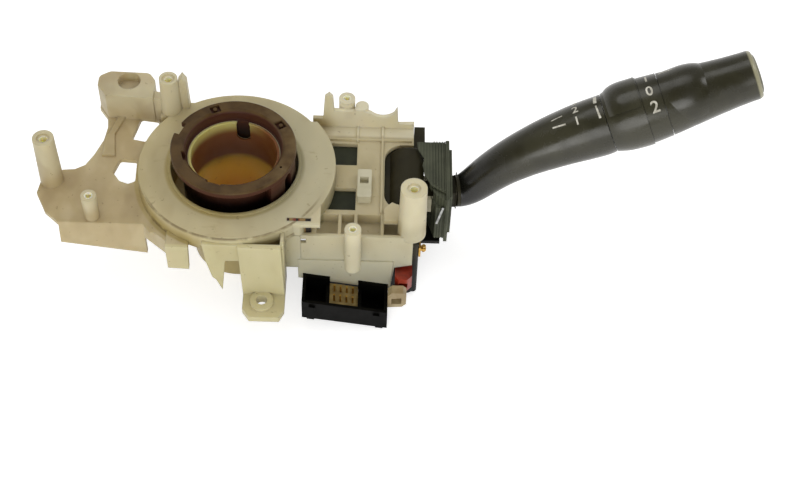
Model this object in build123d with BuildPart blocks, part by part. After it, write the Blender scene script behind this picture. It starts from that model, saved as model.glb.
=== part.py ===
from build123d import *
from math import cos, sin, radians, hypot
import os

os.makedirs("parts", exist_ok=True)

# Combination stalk switch. Millimetres. Z runs along the steering column, towards the
# driver; Y is up across the column; X is towards the wiper lever. The origin is on the
# column axis, level with the lip round the cancel cam.

# ---------------------------------------------------------------- driving dimensions
running_gap = 0.06          # radial gap of a turning fit
seat_gap = 0.03             # radial gap of a pin or screw that stays put

# column seat and cancel cam
bore_r = 18.0
tube_wall = 1.3
tube_top = 5.6
base_z = -50.0
cam_flange_r = 26.0
cam_flange_t = 2.8
cam_top = 11.0
cam_hub_r = 22.0
cam_bottom = -16.4
cam_mouth_r = 20.0
well_gap = 0.7
lip_w = 1.3

# bracket
wall = 1.8
disc_r = 40.3
disc_top = -0.8
deck_t = 2.0
sector_r = 42.3
plate_top = -8.0
plate_t = 2.2
tray_x0 = 20.0
tray_x1 = 75.3
tray_y0 = -31.1
tray_y1 = 31.8
trough_y = -17.8
trough_depth = 5.2
tall_post_top = 18.0
short_post_top = 5.0

# wiper switch module
module_x0 = 38.0
module_x1 = 78.0
module_y = 28.5
module_bottom = -48.0
module_split = -17.0
shell = 1.8
pivot_x = 73.5
tilt_z = -15.0
drum_r = 9.5
drum_y0 = -14.0
drum_y1 = 17.5

# lever
stalk_azimuth = 8.0
knob_elevation = 21.5
root_x = 94.7
root_y = 0.6
root_z = -14.0

# connector
plug_x0 = 29.6
plug_x1 = 65.6
plug_y0 = -47.0
plug_wall = 1.4

# ---------------------------------------------------------------- derived sizes
tube_r = bore_r + tube_wall
well_r = cam_flange_r + well_gap
well_floor = cam_bottom - 0.3
plate_bottom = plate_top - plate_t
pivot_y = 0.0


def save(part, name):
    part.label = name
    export_step(part, "parts/" + name + ".step")


def vertical(r, z0, z1, x=0.0, y=0.0, mode=Mode.ADD):
    """A round post or hole along Z in the open part."""
    with BuildSketch(Plane.XY.offset(z0)) as shape:
        with Locations((x, y)):
            Circle(r)
    extrude(shape.sketch, amount=z1 - z0, mode=mode)


def block(x0, x1, y0, y1, z0, z1, mode=Mode.ADD):
    """A block between two corners in the open part."""
    with BuildSketch(Plane.XY.offset(z0)) as shape:
        with Locations(((x0 + x1) / 2, (y0 + y1) / 2)):
            Rectangle(x1 - x0, y1 - y0)
    extrude(shape.sketch, amount=z1 - z0, mode=mode)


def outline(points, z0, z1, mode=Mode.ADD):
    """A flat plate of a given plan outline in the open part."""
    with BuildSketch(Plane.XY.offset(z0)) as shape:
        with BuildLine():
            Polyline(*points, close=True)
        make_face()
    extrude(shape.sketch, amount=z1 - z0, mode=mode)


def upright(points, y0, y1, mode=Mode.ADD):
    """A wall drawn in X and Z that runs from y0 up to y1 in the open part."""
    with BuildSketch(Plane.XZ.offset(-y1)) as shape:
        with BuildLine():
            Polyline(*points, close=True)
        make_face()
    extrude(shape.sketch, amount=y1 - y0, mode=mode)


def across(r, x, z, y0, y1, mode=Mode.ADD):
    """A round pin or hole along Y in the open part."""
    with BuildSketch(Plane.XZ.offset(-y1)) as shape:
        with Locations((x, z)):
            Circle(r)
    extrude(shape.sketch, amount=y1 - y0, mode=mode)


# ---------------------------------------------------------------- column bracket
rib_t = 1.4
skirt_bottom = -8.2
tall_posts = [(-76.6, -4.8, 4.4), (74.6, -26.1, 5.4), (-29.5, 31.0, 3.9)]
short_posts = [(-57.3, -23.7, 3.2), (50.5, -37.5, 3.4), (46.0, 34.9, 3.5)]
post_hole_r = 1.25
tall_hole_r = 1.6
hole_depth = 12.0
post_draft = 0.5
recess_r = 2.7
recess_depth = 0.8
ear_hole = (13.0, -46.5)
ear_hole_r = 2.3
ear_z = -34.0
strip_low = -12.0
module_screw_r = 1.3
module_screw_spots = [(54.0, -26.0), (67.0, -26.0)]

left_bay = [(-20, 33), (-27, 36.5), (-37, 41), (-40, 46), (-57, 46), (-62, 43), (-62, 37.5),
            (-58, 31.8), (-57.2, 26), (-58, 18.4), (-61, 9.9), (-64, 4), (-68, 1.5), (-73, 1),
            (-81, -4), (-82, -12), (-77.2, -21.6), (-71, -27.3), (-36, -27.3), (-33, -31.5),
            (-25, -32), (-20, -20)]
upper_window = [(-43.4, 32.3), (-36.2, 31.3), (-34.3, 28.4), (-40, 18), (-46.2, 19.4)]
lower_window = [(-49.6, 8), (-42.4, 7.5), (-41.9, -4.4), (-44.8, -5.9), (-48.6, -4.4), (-51.9, 0.3)]

with BuildPart() as column_bracket:
    # disc deck, lip, cam well and column tube, turned about the column
    with BuildSketch(Plane.XZ):
        with BuildLine():
            Polyline(
                (well_r, 0), (well_r + lip_w, 0), (well_r + lip_w, disc_top), (disc_r, disc_top),
                (disc_r + 0.4, skirt_bottom), (disc_r + 0.4 - wall, skirt_bottom),
                (disc_r - wall, disc_top - deck_t), (well_r + wall, disc_top - deck_t),
                (well_r + wall, well_floor - deck_t), (tube_r + 0.8, well_floor - deck_t),
                (tube_r + 0.8, base_z), (bore_r, base_z), (bore_r, tube_top),
                (tube_r, tube_top), (tube_r, well_floor), (well_r, well_floor),
                close=True,
            )
        make_face()
    revolve(axis=Axis.Z)
    # main plate: right-hand tray and left-hand bay, open inside the disc's skirt
    with BuildSketch(Plane.XY.offset(plate_bottom)):
        with Locations(((tray_x0 + tray_x1) / 2, (tray_y0 + tray_y1) / 2)):
            Rectangle(tray_x1 - tray_x0, tray_y1 - tray_y0)
        with BuildLine():
            Polyline(*left_bay, close=True)
        make_face()
        Circle(disc_r - wall, mode=Mode.SUBTRACT)
    extrude(amount=plate_t)
    # raised deck beside the disc, on the tray side
    with BuildSketch(Plane.XY.offset(disc_top - deck_t)):
        Circle(sector_r)
        with Locations((tray_x0 + 12.5, (tray_y0 + 26) / 2)):
            Rectangle(25, 26 - tray_y0, mode=Mode.INTERSECT)
        with Locations((tray_x0 + 8.5, tray_y0 + 5.5)):
            Rectangle(17, 11)
        Circle(well_r + 1, mode=Mode.SUBTRACT)
    extrude(amount=deck_t)
    with BuildSketch(Plane.XY.offset(plate_bottom)):
        Circle(sector_r)
        with Locations((tray_x0 + 12.5, (tray_y0 + 26) / 2)):
            Rectangle(25, 26 - tray_y0, mode=Mode.INTERSECT)
        Circle(sector_r - wall, mode=Mode.SUBTRACT)
    extrude(amount=disc_top - plate_bottom)
    # ribs under the deck
    with BuildSketch(Plane.XY.offset(skirt_bottom)):
        with PolarLocations((well_r + disc_r) / 2, 12):
            Rectangle(disc_r - well_r - wall, rib_t)
    extrude(amount=disc_top - deck_t - skirt_bottom)
    # trough along the front of the tray
    block(tray_x0 + 14, tray_x1, tray_y0, trough_y, plate_top - trough_depth - wall, plate_bottom)
    block(tray_x0 + 14 + rib_t, tray_x1 - rib_t, tray_y0 + 1.6, trough_y - rib_t,
          plate_top - trough_depth, plate_top, mode=Mode.SUBTRACT)
    for rib_x in (44.8, 51.4, 62.4):
        block(rib_x - rib_t / 2, rib_x + rib_t / 2, tray_y0, trough_y, plate_top - trough_depth - 1, plate_top)
    # thin ribs on the tray
    block(61.3, 62.3, trough_y - 0.5, 30.5, plate_top - 0.5, plate_top + 1)
    block(50.5, 51.5, 21.0, 30.5, plate_top - 0.5, plate_top + 1)
    block(36.0, 74.5, 21.9, 22.9, plate_top - 0.5, plate_top + 1)
    # front wall of the tray, with its slanting lower edge
    upright([(31, plate_bottom), (tray_x1, plate_bottom), (tray_x1, -26), (68, -28), (66.5, -42.5),
             (27.5, -35.6), (27.5, -13), (31, -13)], tray_y0, tray_y0 + 1.6)
    upright([(27.5, -23.5), (67.5, -23.5), (66.5, -42.5), (27.5, -35.6)], tray_y0 - 0.7, tray_y0)
    # back wall of the tray, with its fingers and scalloped edge
    with BuildSketch(Plane.XZ.offset(-tray_y1)):
        with BuildLine():
            Polyline((22, -30), (22, -7.5), (31.4, -7.5), (31.4, -3), (35.8, -3), (36.6, 10), (38.5, 12),
                     (40.1, 10), (40.6, 2), (49.5, 2), (49.5, 3.2), (56.5, 1))
            RadiusArc((56.5, 1), (66.5, 1), -6.5)
            Polyline((66.5, 1), (67.8, 4), (68.4, -5.6), (tray_x1, -5.2), (tray_x1, -30), (22, -30))
        make_face()
    extrude(amount=wall)
    vertical(2.8, -20, 2.6, 52.6, tray_y1 + 1.2)
    # left-hand bay: front wall, head block, arm ribs and end lugs
    upright([(-71, plate_bottom), (-36, plate_bottom), (-36, -27.2), (-71.5, -21.4)], -27.3, -25.5)
    with BuildSketch(Plane.XY.offset(plate_top)):
        with BuildLine():
            Polyline((-37, 30.5), (-37, 41), (-40, 45.5), (-57, 46), (-61.5, 43), (-61.5, 37.5), (-57.6, 31.8),
                     close=True)
        make_face()
        fillet([v for v in vertices() if v.Y > 40], 3.0)
    extrude(amount=short_post_top + 1 - plate_top)
    vertical(4.9, short_post_top - 3, short_post_top + 1, -48.3, 40.5, mode=Mode.SUBTRACT)
    outline([(-50, 32), (-54, 20), (-56.5, 20), (-53, 32)], plate_top, plate_top + 1.2)
    outline([(-57.5, 9), (-52, 9), (-53.5, 21), (-57, 21)], plate_top, plate_top + 1.2)
    outline([(-38, 31), (-27, 30), (-27, 34), (-38, 36)], plate_bottom, short_post_top)
    upright([(-26, -2), (-21.6, -2), (-22.2, 15), (-24, 18), (-25.8, 15)], 31.5, 35)
    outline([(-34, 27), (-20, 27), (-20, 36), (-34, 36)], plate_bottom, disc_top - 1)
    # lugs that hang from the front of the disc
    upright([(-25.6, -8.2), (-16.4, -8.2), (-16.8, -20.5), (-25.4, -20)], -40.4, -38.2)
    block(-25.6, -16.4, -40.4, -30, -8.2, -6)
    upright([(-10.5, -3), (6, -3), (6, -13), (-1.5, -13.4), (-3.6, -33), (-6, -26), (-7.4, -24.5), (-9.5, -14)],
            -41.2, -39.2)
    outline([(-37, -27), (-36, -27.3), (-24.5, -37), (-22.5, -33), (-33, -24), (-37, -25.8)], -17, -8)
    # hanging wall and screw ear below the disc
    upright([(4, -3), (21.5, -3), (22.5, ear_z - 3), (5, ear_z - 3)], -42.4, -40.2)
    outline([(5, -40.2), (5, -50), (8, -54.3), (20.5, -54.3), (22.5, -50), (22.5, -40.2)], ear_z - 3, ear_z)
    vertical(4.9, ear_z - 3, ear_z + 1.6, *ear_hole)
    for web_x in (5.0, 21.1):
        outline([(web_x, -40.2), (web_x + rib_t, -40.2), (web_x + rib_t, -30), (web_x, -30)],
                ear_z - 3, disc_top - deck_t)
    block(5, 22.5, -31.5, -30, ear_z - 3, -10)
    # posts
    for post_x, post_y, post_r in tall_posts:
        with Locations((post_x, post_y, plate_bottom)):
            Cone(post_r + post_draft, post_r, tall_post_top - plate_bottom,
                 align=(Align.CENTER, Align.CENTER, Align.MIN))
    for post_x, post_y, post_r in short_posts:
        vertical(post_r, plate_bottom, short_post_top, post_x, post_y)
    vertical(short_posts[1][2], -20, plate_bottom, *short_posts[1][:2])
    vertical(short_posts[2][2], -20, plate_bottom, *short_posts[2][:2])
    block(49.8, 51.2, -37.5, tray_y0, -20, plate_top)
    # web beside the right-hand tall post
    outline([(62.9, -17.8), (70.5, -10.2), (72, -10.2), (72, -24), (62.9, -24)], plate_top, plate_top + 3)
    # openings: cam well, switch windows, drum cut-out, bay windows, holes
    with BuildSketch(Plane.XY.offset(well_floor)):
        Circle(well_r)
        Circle(tube_r, mode=Mode.SUBTRACT)
    extrude(amount=20, mode=Mode.SUBTRACT)
    for y_low, y_high in ((8.0, 20.3), (-16.8, -4.9)):
        with BuildSketch(Plane.XY.offset(plate_bottom)):
            with Locations((45, (y_low + y_high) / 2)):
                Rectangle(12, y_high - y_low)
            Circle(sector_r, mode=Mode.SUBTRACT)
        extrude(amount=plate_t, mode=Mode.SUBTRACT)
    with BuildSketch(Plane.XY.offset(plate_bottom - 6)):
        with Locations(((62.9 + tray_x1) / 2 + 3, 2.2)):
            Rectangle(tray_x1 - 62.9 + 6, 36.2)
        fillet(vertices().group_by(Axis.X)[0], 8.0)
    extrude(amount=12, mode=Mode.SUBTRACT)
    for window in (upper_window, lower_window):
        with BuildSketch(Plane.XY.offset(plate_bottom)):
            with BuildLine():
                Polyline(*window, close=True)
            make_face()
            fillet(vertices(), 1.2)
        extrude(amount=plate_t, mode=Mode.SUBTRACT)
    for post_x, post_y, _ in tall_posts:
        vertical(tall_hole_r, tall_post_top - hole_depth, tall_post_top, post_x, post_y, mode=Mode.SUBTRACT)
        vertical(recess_r, tall_post_top - recess_depth, tall_post_top, post_x, post_y, mode=Mode.SUBTRACT)
    for post_x, post_y, _ in short_posts:
        vertical(post_hole_r, short_post_top - 8, short_post_top, post_x, post_y, mode=Mode.SUBTRACT)
    vertical(ear_hole_r, ear_z - 3, ear_z + 1.6, *ear_hole, mode=Mode.SUBTRACT)
    # notch in the rim of the tube
    with BuildSketch(Plane.XZ.offset(-tube_r - 0.5)):
        with Locations((2.4, tube_top - 4.6)):
            SlotOverall(12, 5.8, rotation=90)
    extrude(amount=3, mode=Mode.SUBTRACT)
    # slot for the link strip, holes for the module's screws
    block(23.3, 33.2, -29.3, -27.5, strip_low - 0.1, disc_top, mode=Mode.SUBTRACT)
    for spot_x, spot_z in module_screw_spots:
        across(module_screw_r + 0.2, spot_x, spot_z, tray_y1 - wall - 1, tray_y1 + 1, mode=Mode.SUBTRACT)
save(column_bracket.part, "column_bracket")


# ---------------------------------------------------------------- cancel cam
cam_step = tube_top + 0.3
lobe_r = cam_flange_r - 0.1

with BuildPart() as cancel_cam:
    with BuildSketch(Plane.XZ):
        with BuildLine():
            Polyline(
                (tube_r + running_gap, cam_bottom), (cam_hub_r, cam_bottom), (cam_hub_r, cam_top - cam_flange_t - 1.5),
                (cam_flange_r - 1.2, cam_top - cam_flange_t), (cam_flange_r, cam_top - cam_flange_t),
                (cam_flange_r, cam_top - 0.5), (cam_flange_r - 0.5, cam_top), (cam_mouth_r + 1.2, cam_top),
                (cam_mouth_r, cam_top - 1.2), (cam_mouth_r, cam_step), (tube_r + running_gap, cam_step),
                close=True,
            )
        make_face()
    revolve(axis=Axis.Z)
    # cancelling lobe under the flange
    with BuildSketch(Plane.XY.offset(-6)):
        with BuildLine():
            CenterArc((0, 0), lobe_r, -50, 42)
            CenterArc((0, 0), cam_hub_r - 1, -50, 42)
            Line((lobe_r * cos(radians(-50)), lobe_r * sin(radians(-50))),
                 ((cam_hub_r - 1) * cos(radians(-50)), (cam_hub_r - 1) * sin(radians(-50))))
            Line((lobe_r * cos(radians(-8)), lobe_r * sin(radians(-8))),
                 ((cam_hub_r - 1) * cos(radians(-8)), (cam_hub_r - 1) * sin(radians(-8))))
        make_face()
    extrude(amount=cam_top - cam_flange_t + 6)
    # arched pocket in the lobe
    with BuildSketch(Plane(origin=(0, 0, 0), x_dir=(sin(radians(27)), cos(radians(27)), 0),
                           z_dir=(cos(radians(-27)), sin(radians(-27)), 0)).offset(cam_hub_r + 1)):
        with Locations((0, 1.5)):
            SlotOverall(12, 4.6, rotation=90)
    extrude(amount=6, mode=Mode.SUBTRACT)
    # notches in the rim, in the mouth and on the face
    with BuildSketch(Plane.XY.offset(cam_top - cam_flange_t - 1.5)):
        with PolarLocations(cam_flange_r, 1, start_angle=158):
            Rectangle(5.0, 6.6)
        with PolarLocations(cam_mouth_r - 0.5, 1, start_angle=252):
            Rectangle(4.0, 6.4)
        with PolarLocations(cam_mouth_r - 0.5, 1, start_angle=196):
            Rectangle(4.0, 5.0)
    extrude(amount=8, mode=Mode.SUBTRACT)
    with BuildSketch(Plane.XY.offset(cam_top - 1.6)):
        with PolarLocations(22.6, 1, start_angle=114):
            Rectangle(3.4, 4.2)
        with PolarLocations(22.6, 1, start_angle=34):
            Rectangle(3.4, 4.2)
        with PolarLocations(22.9, 1, start_angle=-28):
            Circle(0.55)
    extrude(amount=3, mode=Mode.SUBTRACT)
    with BuildSketch(Plane.XY.offset(cam_top - 1.6)):
        with PolarLocations(22.8, 2, start_angle=34, angular_range=160):
            Circle(0.9)
    extrude(amount=1.4)
save(cancel_cam.part, "cancel_cam")


# ---------------------------------------------------------------- wiper switch housing
window_y = 10.5
window_low = -24.5
window_top = -8.2
pin_r = 1.5
upper_pin_z = -9.5
pin_length = 3.0
carrier_floor = -23.0
raised_y0 = trough_y + 0.2
lid_low_top = plate_top - trough_depth - wall
lid_inner = plate_bottom - shell
floor_top = module_bottom + 2
plunger_x = 61.5
plunger_r = 3.0
guide_top = -30.0
finger_reach = 16.0
finger_angle = 120.0
finger_r = 1.5
finger_x = pivot_x + finger_reach * cos(radians(finger_angle))
finger_y = finger_reach * sin(radians(finger_angle))
board_bottom = -34.5
board_t = 1.5
board_y0 = 9.6
board_y1 = 20.4
cover_screw_spots = [(42.5, -24.5), (73.5, -24.5), (42.5, 24.5), (73.5, 24.5)]
cover_screw_r = 1.3
screw_column_r = 3.0
board_posts = [(50, 12), (50, 18), (69, 12), (69, 18)]
peg_r = 0.9
apron_x = 87.5
apron_top = -33.2
shield_half = 13.0

with BuildPart() as switch_base:
    block(module_x0, module_x1, -module_y, module_y, module_bottom, module_split)
    fillet(edges().filter_by(Axis.Z), 1.5)
    block(module_x0 + shell, module_x1 - shell, shell - module_y, module_y - shell,
          floor_top, module_split, mode=Mode.SUBTRACT)
    block(module_x1 - shell - 1, module_x1 + 1, -window_y, window_y, window_low, module_split, mode=Mode.SUBTRACT)
    # pedestal under the carrier, guide of the washer plunger, rails and posts of the contact board
    vertical(4.5, module_bottom + 1, carrier_floor - 0.3, pivot_x, pivot_y)
    vertical(plunger_r + 1.5, module_bottom + 1, guide_top, plunger_x, pivot_y)
    for rail_y in (board_y0 - 1.4, board_y1 + 0.2):
        block(58, module_x1 - 1, rail_y, rail_y + 1.2, module_bottom + 1, -29.5)
    for post_x, post_y in board_posts:
        vertical(1.8, module_bottom + 1, board_bottom, post_x, post_y)
        vertical(peg_r, board_bottom - 1, board_bottom + board_t + 0.4, post_x, post_y)
    for spot in cover_screw_spots:
        vertical(screw_column_r, module_bottom + 1, module_split, *spot)
    for spot_x, spot_z in module_screw_spots:
        across(screw_column_r, spot_x, spot_z, module_y - 8, tray_y1 - wall)
    # apron under the shield
    block(module_x1 - 1, apron_x, 1 - shield_half, shield_half + 6, apron_top - shell, apron_top)
    # feet
    for spot in cover_screw_spots:
        vertical(3.4, base_z, module_bottom + 1, *spot)
    # bores
    vertical(pin_r + running_gap, carrier_floor - 0.3 - pin_length - 0.5, carrier_floor, pivot_x, pivot_y,
             mode=Mode.SUBTRACT)
    vertical(plunger_r + running_gap, floor_top, guide_top, plunger_x, pivot_y, mode=Mode.SUBTRACT)
    for spot in cover_screw_spots:
        vertical(cover_screw_r + seat_gap, base_z, module_split, *spot, mode=Mode.SUBTRACT)
        vertical(2.4, base_z, floor_top, *spot, mode=Mode.SUBTRACT)
    for spot_x, spot_z in module_screw_spots:
        across(module_screw_r + seat_gap, spot_x, spot_z, module_y - 7, tray_y1, mode=Mode.SUBTRACT)
save(switch_base.part, "switch_base")

with BuildPart() as switch_cover:
    block(module_x0, module_x1, -module_y, module_y, module_split, lid_low_top)
    block(module_x0, module_x1, raised_y0, module_y, module_split, plate_bottom)
    fillet(edges().filter_by(Axis.Z).group_by(Axis.X)[0], 1.5)
    across(drum_r, pivot_x, tilt_z, drum_y0, drum_y1)
    fillet(edges().filter_by(GeomType.CIRCLE).filter_by(lambda e: e.radius > drum_r - 0.1), 1.2)
    block(pivot_x - 12, pivot_x + 12, -30, 30, module_split - 10, module_split, mode=Mode.SUBTRACT)
    block(module_x1 + 1.6, module_x1 + 8, -30, 30, module_split - 1, -4, mode=Mode.SUBTRACT)
    block(module_x0 + shell, module_x1 - shell, raised_y0 + shell, module_y - shell,
          module_split, lid_inner, mode=Mode.SUBTRACT)
    across(drum_r - shell, pivot_x, tilt_z, drum_y0 + shell, drum_y1 - shell, mode=Mode.SUBTRACT)
    block(module_x1 - shell - 1, module_x1 + 8, -window_y, window_y, module_split, window_top, mode=Mode.SUBTRACT)
    # corner block behind the drum
    block(tray_x1 + 0.3, module_x1 + 2.2, 22.6, 33.4, module_split + 1, plate_bottom - 0.2)
    # boss for the upper pin, screw bosses
    vertical(3.2, upper_pin_z + 0.3, tilt_z + drum_r - 0.8, pivot_x, pivot_y)
    for spot in cover_screw_spots[:2]:
        vertical(screw_column_r, module_split, lid_low_top, *spot)
    for spot in cover_screw_spots[2:]:
        vertical(screw_column_r, module_split, lid_inner, *spot)
    vertical(pin_r + running_gap, upper_pin_z, upper_pin_z + pin_length + 0.1, pivot_x, pivot_y, mode=Mode.SUBTRACT)
    for spot in cover_screw_spots:
        vertical(cover_screw_r + seat_gap, module_split, lid_low_top - 0.6, *spot, mode=Mode.SUBTRACT)
save(switch_cover.part, "switch_cover")


# ---------------------------------------------------------------- fasteners
with BuildPart() as cover_screws:
    for spot in cover_screw_spots:
        vertical(cover_screw_r, floor_top - 0.5, lid_low_top - 0.8, *spot)
        vertical(2.2, module_bottom, floor_top, *spot)
save(cover_screws.part, "cover_screws")

with BuildPart() as module_screws:
    for spot_x, spot_z in module_screw_spots:
        across(module_screw_r, spot_x, spot_z, module_y - 6, tray_y1)
        across(2.6, spot_x, spot_z, tray_y1, tray_y1 + 1.6)
save(module_screws.part, "module_screws")


# ---------------------------------------------------------------- lever carrier
carrier_r = 6.2
slot_half = 4.6
slot_top = -11.6
slot_low = -19.0
arm_top = -19.3
detent_angle = -120.0
detent_z = (carrier_floor + arm_top) / 2
spring_bore_r = 1.2
neck_end = 84.0
leaf_t = 0.6
tilt_pin_r = 1.5


def pivot_arm(angle, reach, width, z0, z1):
    """A flat arm that leaves the lever pivot at an angle in plan."""
    with BuildSketch(Plane.XY.offset(z0)) as shape:
        with Locations(Location((pivot_x, pivot_y, 0), angle)):
            with Locations((reach / 2, 0)):
                Rectangle(reach, width)
    extrude(shape.sketch, amount=z1 - z0)


def pivot_plane(angle, reach, z):
    """The plane that faces outwards at a reach from the lever pivot."""
    way = (cos(radians(angle)), sin(radians(angle)), 0)
    return Plane(origin=(pivot_x + reach * way[0], pivot_y + reach * way[1], z),
                 x_dir=(-way[1], way[0], 0), z_dir=way)


with BuildPart() as lever_carrier:
    vertical(carrier_r, carrier_floor, -12, pivot_x, pivot_y)
    vertical(carrier_r - 0.5, -12, -10.8, pivot_x, pivot_y)
    vertical(4.9, -10.8, upper_pin_z, pivot_x, pivot_y)
    vertical(pin_r, upper_pin_z, upper_pin_z + pin_length, pivot_x, pivot_y)
    vertical(pin_r, carrier_floor - 0.3 - pin_length, carrier_floor, pivot_x, pivot_y)
    for cheek_y in (-6.6, slot_half):
        block(pivot_x, neck_end, cheek_y, cheek_y + 2.0, -20, -12)
    pivot_arm(finger_angle, finger_reach + 2.5, 6.0, carrier_floor, arm_top)
    pivot_arm(detent_angle, 18.0, 7.0, carrier_floor, arm_top)
    vertical(finger_r, -31.5, carrier_floor, finger_x, finger_y)
    # slot for the lever, bore for the detent, hole for the tilt pin
    block(pivot_x - 10, neck_end + 1, -slot_half, slot_half, slot_low, slot_top, mode=Mode.SUBTRACT)
    with BuildSketch(pivot_plane(detent_angle, 9.0, detent_z)):
        Circle(spring_bore_r)
    extrude(amount=10, mode=Mode.SUBTRACT)
    across(tilt_pin_r + seat_gap, pivot_x, tilt_z, -8, 8, mode=Mode.SUBTRACT)
save(lever_carrier.part, "lever_carrier")

with BuildPart() as tilt_pin:
    across(tilt_pin_r, pivot_x, tilt_z, -6.4, 6.4)
save(tilt_pin.part, "tilt_pin")

track_r = 20.6
with BuildPart() as detent_track:
    with BuildSketch(Plane.XY.offset(floor_top)):
        with BuildLine():
            CenterArc((pivot_x, pivot_y), track_r + 3, -145, 45)
            CenterArc((pivot_x, pivot_y), track_r, -145, 45)
            for end_angle in (-145, -100):
                way = (cos(radians(end_angle)), sin(radians(end_angle)))
                Line((pivot_x + track_r * way[0], pivot_y + track_r * way[1]),
                     (pivot_x + (track_r + 3) * way[0], pivot_y + (track_r + 3) * way[1]))
        make_face()
        for step in (6, 0, -6.5, -13, -19.5):
            turn = detent_angle + step
            with Locations((pivot_x + track_r * cos(radians(turn)), pivot_y + track_r * sin(radians(turn)))):
                Circle(0.9, mode=Mode.SUBTRACT)
    extrude(amount=arm_top - floor_top)
save(detent_track.part, "detent_track")

with BuildPart() as detent_plunger:
    with BuildSketch(pivot_plane(detent_angle, 13.6, detent_z)):
        Circle(spring_bore_r - 0.05)
    extrude(amount=track_r - 0.15 - 13.6)
    fillet(edges().filter_by(GeomType.CIRCLE).sort_by(Axis.Y)[0], 0.9)
save(detent_plunger.part, "detent_plunger")


def coil(plane, radius, wire, pitch, height):
    """A compression spring that stands on a plane."""
    with BuildLine() as path:
        Helix(pitch=pitch, height=height, radius=radius, center=plane.origin, direction=plane.z_dir)
    with BuildSketch(Plane(origin=path.line @ 0, z_dir=path.line % 0)) as shape:
        Rectangle(wire, wire)
    sweep(shape.sketch, path=path.line, is_frenet=True)


with BuildPart() as detent_spring:
    coil(pivot_plane(detent_angle, 9.2, detent_z), 0.85, 0.3, 1.1, 4.2)
save(detent_spring.part, "detent_spring")


# ---------------------------------------------------------------- shield on the carrier
with BuildPart() as lever_shield:
    outline([(80.1, 2), (84.5, -11), (84.8, -12), (89, -12), (89, 20), (84.0, 20)], -31, -11)
    outline([(82, -3), (84.6, -9), (89, -12), (89, 20), (83.6, 18), (82, 8)], -11, -6)
    block(88.9, 90.4, -13, 20, -32, -4)
    block(90.4, 91.6, -9.6, 16.6, -30, -6)
    # grooved sides
    for step in range(4):
        for side_y in (-12.4, 19.6):
            block(84.4 + 1.1 * step, 84.9 + 1.1 * step, side_y, side_y + 0.8, -32, -5, mode=Mode.SUBTRACT)
    # neck seat and the window of the lever
    block(79, neck_end + 0.1, -6.7, 6.7, -20.1, -11.9, mode=Mode.SUBTRACT)
    block(79, 93, -5.4, 5.4, -21.2, -8.4, mode=Mode.SUBTRACT)
    block(83, 93, -6.8, 8.4, -24, -6.8, mode=Mode.SUBTRACT)
save(lever_shield.part, "lever_shield")

with BuildPart() as return_leaf:
    upright([(85.0, -20.6), (85.9, -20.8), (88.3, -10.2), (87.4, -10.0)], -12.6, -12)
save(return_leaf.part, "return_leaf")


# ---------------------------------------------------------------- lever
collar_r = 6.8
stub_r = 4.3
azimuth_way = (cos(radians(stalk_azimuth)), sin(radians(stalk_azimuth)), 0)
side_way = (-azimuth_way[1], azimuth_way[0], 0)
tail_reach = 13.5


def stalk_plane(run, z, tilt):
    """A cross-section plane of the stalk, a run away from its root."""
    lean = radians(tilt)
    normal = (azimuth_way[0] * cos(lean), azimuth_way[1] * cos(lean), sin(lean))
    return Plane(origin=(root_x + run * azimuth_way[0], root_y + run * azimuth_way[1], z),
                 x_dir=side_way, z_dir=normal)


with BuildPart() as lever_arm:
    across(3.2, pivot_x, tilt_z, 0.2 - slot_half, slot_half - 0.2)
    block(pivot_x, 86, 0.3 - slot_half, slot_half - 0.3, tilt_z - 2.6, tilt_z + 2.6)
    block(84.5, 93.5, -4.4, 5.6, tilt_z - 4, tilt_z + 5)
    block(pivot_x - tail_reach, pivot_x, -3.0, 3.0, tilt_z - 1.0, tilt_z + 1.8)
    block(93.3, 93.72, -5.0, 6.2, -19.4, -8.6)
    with BuildSketch(stalk_plane(-1.4, root_z, 0)):
        Circle(collar_r)
    extrude(amount=1.4)
    with BuildSketch(stalk_plane(-0.5, root_z, 0)):
        Circle(stub_r)
    extrude(amount=1.5)
    across(tilt_pin_r + running_gap, pivot_x, tilt_z, -8, 8, mode=Mode.SUBTRACT)
save(lever_arm.part, "lever_arm")

# run, z, tilt and radius of the stalk's sections
stations = [(0, -14, 0, 6.9), (5, -11.6, 30, 7.5), (12, -4.9, 43, 8.3), (21, 2.8, 38, 9.2),
            (32, 9.6, 28, 10.4), (45, 15.7, 23.5, 11.7), (60.2, 21.8, knob_elevation, 12.3)]
tube_skin = 2.0
knob_lean = radians(knob_elevation)
knob_way = (azimuth_way[0] * cos(knob_lean), azimuth_way[1] * cos(knob_lean), sin(knob_lean))
head_x = root_x + stations[-1][0] * azimuth_way[0]
head_y = root_y + stations[-1][0] * azimuth_way[1]
head_z = stations[-1][1]
head_section = Plane(origin=(head_x, head_y, head_z), x_dir=knob_way, z_dir=side_way)
head_axis = Axis((head_x, head_y, head_z), knob_way)
spindle_r = 4.0


def turned(*points, mode=Mode.ADD):
    """A body turned about the head axis from points of run and radius."""
    with BuildSketch(head_section) as shape:
        with BuildLine():
            Polyline(*points, close=True)
        make_face()
    revolve(shape.sketch, axis=head_axis, mode=mode)


def head_plane(run, angle, radius):
    """The plane that faces outwards from the head axis; angle 0 is the upper side."""
    up = head_section.y_dir if head_section.y_dir.Z > 0 else head_section.y_dir * -1
    out = up * cos(radians(angle)) + head_section.z_dir * sin(radians(angle))
    return Plane(origin=head_section.origin + head_section.x_dir * run + out * radius,
                 x_dir=head_section.x_dir, z_dir=out)


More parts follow.
